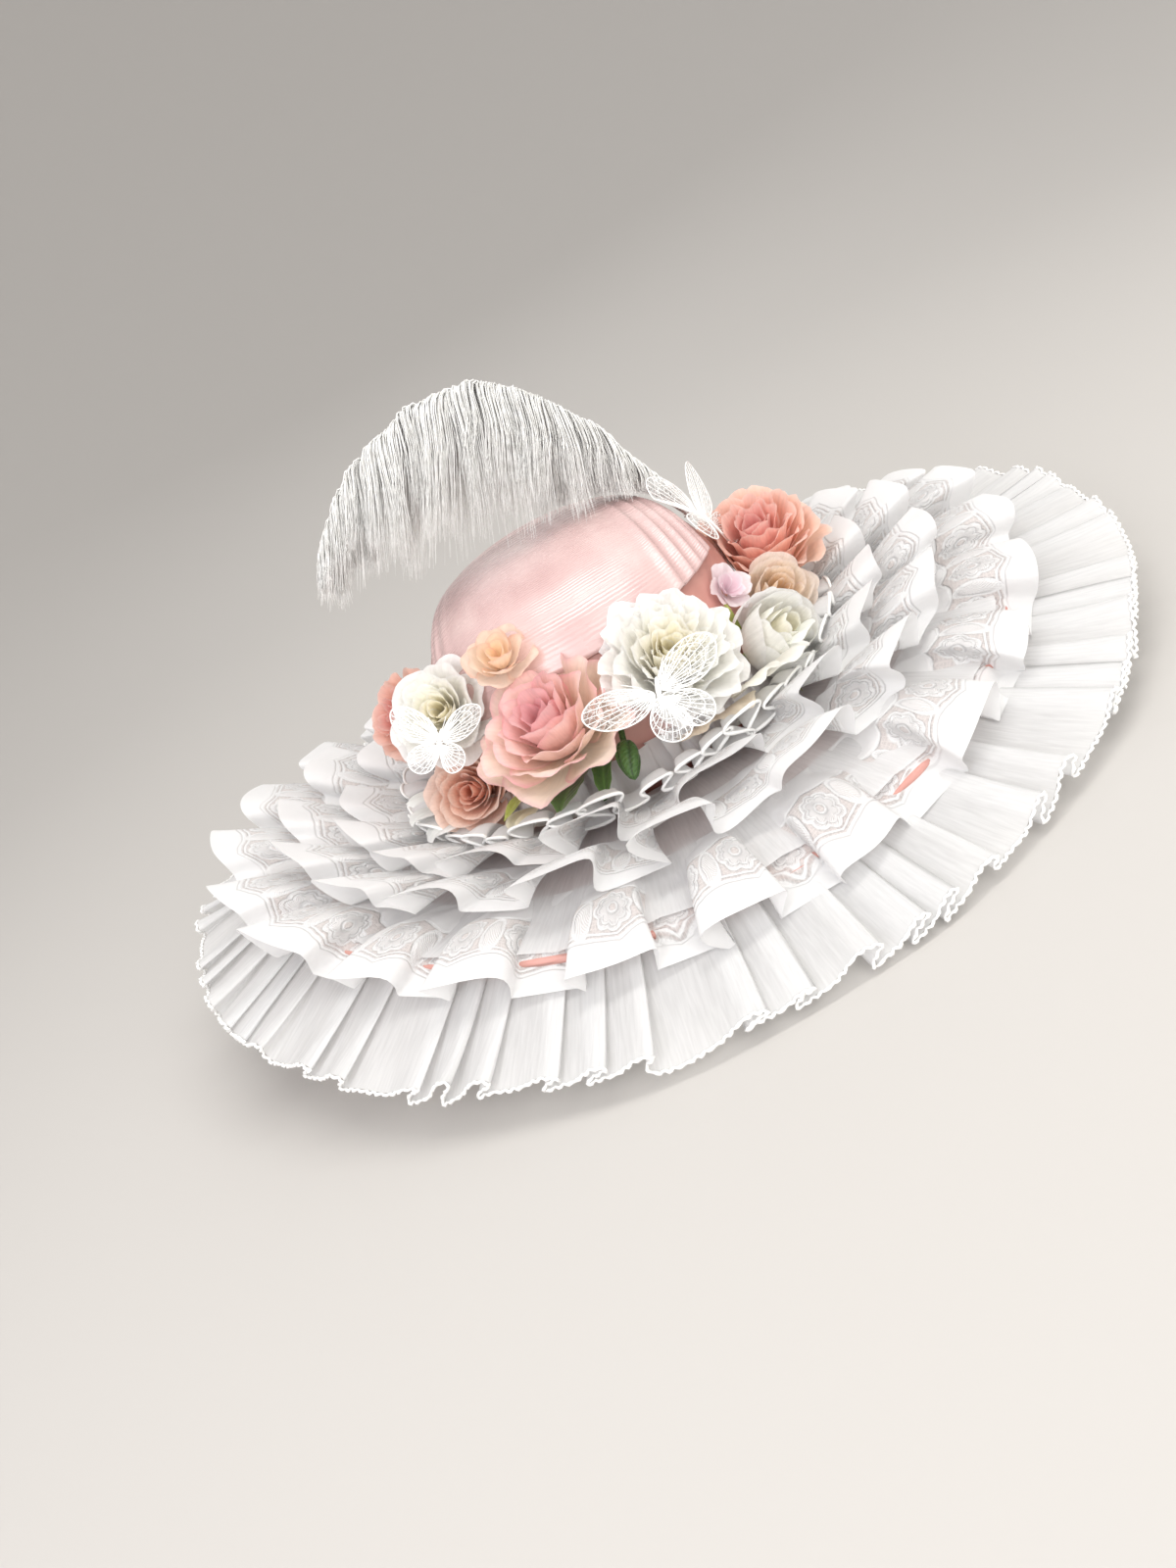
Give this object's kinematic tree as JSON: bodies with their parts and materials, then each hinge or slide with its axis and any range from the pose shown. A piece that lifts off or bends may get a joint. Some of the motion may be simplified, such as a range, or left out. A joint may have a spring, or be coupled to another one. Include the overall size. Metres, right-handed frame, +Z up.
{
  "type": "lace hat",
  "caption": "Wide-brimmed satin hat with tiers of gathered lace ruffles, a pleated edge frill, silk roses round the crown, lace butterflies and a curling plume",
  "frame": {"origin": "centre of the head opening, in the plane of its lower edge, where the hat sits on a head", "axes": "+Z up the crown's axis, -Y the front where the flowers are thickest, +X the wearer's left"},
  "size_m": [0.5208, 0.5193, 0.2377],
  "materials": {
    "rose_satin": "dusty rose satin, soft sheen",
    "pale_satin": "pale pink satin, bright sheen",
    "white_chiffon": "sheer white chiffon and lace",
    "coral_silk": "matt petal cloth",
    "peach_silk": "matt petal cloth",
    "apricot_silk": "matt petal cloth",
    "blush_silk": "matt petal cloth",
    "cream_silk": "matt petal cloth",
    "white_silk": "matt petal cloth",
    "pink_silk": "matt petal cloth",
    "leaf_cloth": "printed leaf cloth",
    "white_lace": "stiffened white lace",
    "white_feather": "soft white plume"
  },
  "bodies": {
    "root": {"crown": "rose_satin", "brim": "rose_satin", "crown_sash": "pale_satin", "edge_frill": "white_chiffon", "outer_ruffle": "white_chiffon", "middle_ruffle": "white_chiffon", "inner_ruffle": "white_chiffon", "coral_rose": "coral_silk", "coral_rose_left": "coral_silk", "apricot_rose": "apricot_silk", "apricot_bud": "apricot_silk", "white_rosebud": "white_silk", "hydrangea_floret": "pink_silk", "cream_peony": "cream_silk", "cream_rose": "cream_silk", "blush_rose": "blush_silk", "peach_rose": "peach_silk", "front_leaf": "leaf_cloth", "green_bud": "leaf_cloth", "left_stem": "leaf_cloth", "peony_butterfly": "white_lace", "rose_butterfly": "white_lace", "left_butterfly": "white_lace", "plume": "white_feather"}
  },
  "joints": []
}
